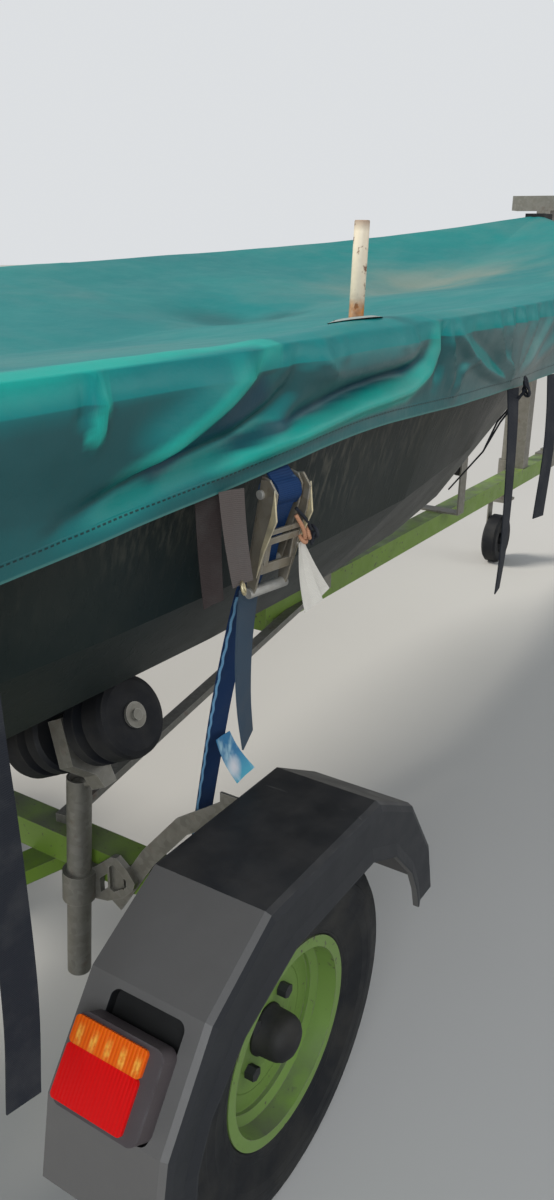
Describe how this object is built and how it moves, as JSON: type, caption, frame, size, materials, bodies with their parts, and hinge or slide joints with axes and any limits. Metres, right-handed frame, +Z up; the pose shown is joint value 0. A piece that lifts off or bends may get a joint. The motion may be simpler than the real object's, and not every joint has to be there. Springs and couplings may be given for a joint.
{
  "type": "covered sailing dinghy on road trailer",
  "caption": "Hard-chine sailing dinghy under a fitted cover, strapped to a two-wheel road trailer with rollers, winch post and jockey wheel.",
  "frame": {"origin": "on the floor under the middle of the whole length and width", "axes": "+X forward along the boat and the drawbar, +Y to port, +Z up"},
  "size_m": [4.894, 1.496, 1.435],
  "materials": {
    "hull_gelcoat": "dark green gelcoat, scuffed",
    "strake_wood": "painted dark green",
    "keel_band": "worn",
    "cover_fabric": "coated tarpaulin, semi-gloss",
    "post_paint": "chipped white paint",
    "stern_fittings": "satin",
    "bung_plastic": "matte",
    "tyre": "dusty",
    "rim_paint": "lime green, satin",
    "galvanised": "weathered zinc",
    "frame_paint": "lime green, worn",
    "black_plastic": "worn at the edges",
    "lamp_body": "matte",
    "amber_lens": "clear amber",
    "red_lens": "clear red",
    "roller_rubber": "matte black",
    "blue_webbing": "woven",
    "dark_webbing": "woven"
  },
  "bodies": {
    "boat_and_trailer": {"hull": "hull_gelcoat", "transom": "hull_gelcoat", "rubbing_strakes": "strake_wood", "keel_strip": "keel_band", "cover": "cover_fabric", "gunwale_post": "post_paint", "rudder_gudgeons": "stern_fittings", "bow_eye": "stern_fittings", "drain_bungs": "bung_plastic", "swing_arms": "galvanised", "mudguard_brackets": "galvanised", "roller_stems": "galvanised", "stem_clamps": "galvanised", "roller_spindles": "galvanised", "keel_roller_brackets": "galvanised", "winch_post": "galvanised", "winch_frame": "galvanised", "winch_drum": "galvanised", "winch_handle": "galvanised", "coupling_head": "galvanised", "coupling_handle": "galvanised", "jockey_clamp": "galvanised", "strap_ratchets": "galvanised", "strap_hooks": "galvanised", "axle_beam": "frame_paint", "front_rails": "frame_paint", "rear_rails": "frame_paint", "drawbar": "frame_paint", "mudguard_starboard": "black_plastic", "mudguard_port": "black_plastic", "tail_lamp_housings": "lamp_body", "tail_lamp_amber_lenses": "amber_lens", "tail_lamp_red_lenses": "red_lens", "bow_snubber": "roller_rubber", "tie_down_straps": "blue_webbing", "winch_strap": "dark_webbing", "cover_tie_1": "dark_webbing", "cover_tie_2": "dark_webbing", "cover_tie_3": "dark_webbing"},
    "wheel_starboard": {"tyre_starboard": "tyre", "rim_starboard": "rim_paint", "hub_starboard": "galvanised", "hub_cap_starboard": "black_plastic"},
    "wheel_port": {"tyre_port": "tyre", "rim_port": "rim_paint", "hub_port": "galvanised", "hub_cap_port": "black_plastic"},
    "side_roller_starboard_outer": {"roller_starboard_outer": "roller_rubber"},
    "side_roller_starboard_inner": {"roller_starboard_inner": "roller_rubber"},
    "side_roller_port_outer": {"roller_port_outer": "roller_rubber"},
    "side_roller_port_inner": {"roller_port_inner": "roller_rubber"},
    "keel_roller_1_body": {"keel_roller_1": "roller_rubber"},
    "keel_roller_2_body": {"keel_roller_2": "roller_rubber"},
    "keel_roller_3_body": {"keel_roller_3": "roller_rubber"},
    "jockey_leg": {"jockey_tube": "galvanised", "jockey_handle": "galvanised"},
    "jockey_fork_body": {"jockey_fork": "galvanised"},
    "jockey_wheel_body": {"jockey_wheel": "roller_rubber"}
  },
  "joints": [
    {"name": "wheel_starboard_spin", "type": "hinge", "parent": "boat_and_trailer", "child": "wheel_starboard", "pos_m": [-0.953, -0.632, 0.25], "axis": [0, 1, 0], "continuous": true},
    {"name": "side_roller_starboard_outer_spin", "type": "hinge", "parent": "boat_and_trailer", "child": "side_roller_starboard_outer", "pos_m": [-0.939, -0.322, 0.60732], "axis": [0, -0.8955, 0.4451], "continuous": true},
    {"name": "side_roller_starboard_inner_spin", "type": "hinge", "parent": "boat_and_trailer", "child": "side_roller_starboard_inner", "pos_m": [-0.939, -0.322, 0.60732], "axis": [0, -0.8955, 0.4451], "continuous": true},
    {"name": "wheel_port_spin", "type": "hinge", "parent": "boat_and_trailer", "child": "wheel_port", "pos_m": [-0.953, 0.632, 0.25], "axis": [0, 1, 0], "continuous": true},
    {"name": "side_roller_port_outer_spin", "type": "hinge", "parent": "boat_and_trailer", "child": "side_roller_port_outer", "pos_m": [-0.939, 0.322, 0.60732], "axis": [0, 0.8955, 0.4451], "continuous": true},
    {"name": "side_roller_port_inner_spin", "type": "hinge", "parent": "boat_and_trailer", "child": "side_roller_port_inner", "pos_m": [-0.939, 0.322, 0.60732], "axis": [0, 0.8955, 0.4451], "continuous": true},
    {"name": "keel_roller_1_spin", "type": "hinge", "parent": "boat_and_trailer", "child": "keel_roller_1_body", "pos_m": [-1.553, 0, 0.47853], "axis": [0, 1, 0], "continuous": true},
    {"name": "keel_roller_2_spin", "type": "hinge", "parent": "boat_and_trailer", "child": "keel_roller_2_body", "pos_m": [0.197, 0, 0.4987], "axis": [0, 1, 0], "continuous": true},
    {"name": "keel_roller_3_spin", "type": "hinge", "parent": "boat_and_trailer", "child": "keel_roller_3_body", "pos_m": [1.097, 0, 0.60141], "axis": [0, 1, 0], "continuous": true},
    {"name": "jockey_slide", "type": "slide", "parent": "boat_and_trailer", "child": "jockey_leg", "axis": [0, 0, 1], "range_m": [-0.05, 0.09]},
    {"name": "jockey_swivel", "type": "hinge", "parent": "jockey_leg", "child": "jockey_fork_body", "pos_m": [2.037, 0.092, 0.3], "axis": [0, 0, 1], "continuous": true},
    {"name": "jockey_wheel_spin", "type": "hinge", "parent": "jockey_fork_body", "child": "jockey_wheel_body", "pos_m": [1.992, 0.092, 0.1], "axis": [0, 1, 0], "continuous": true}
  ]
}
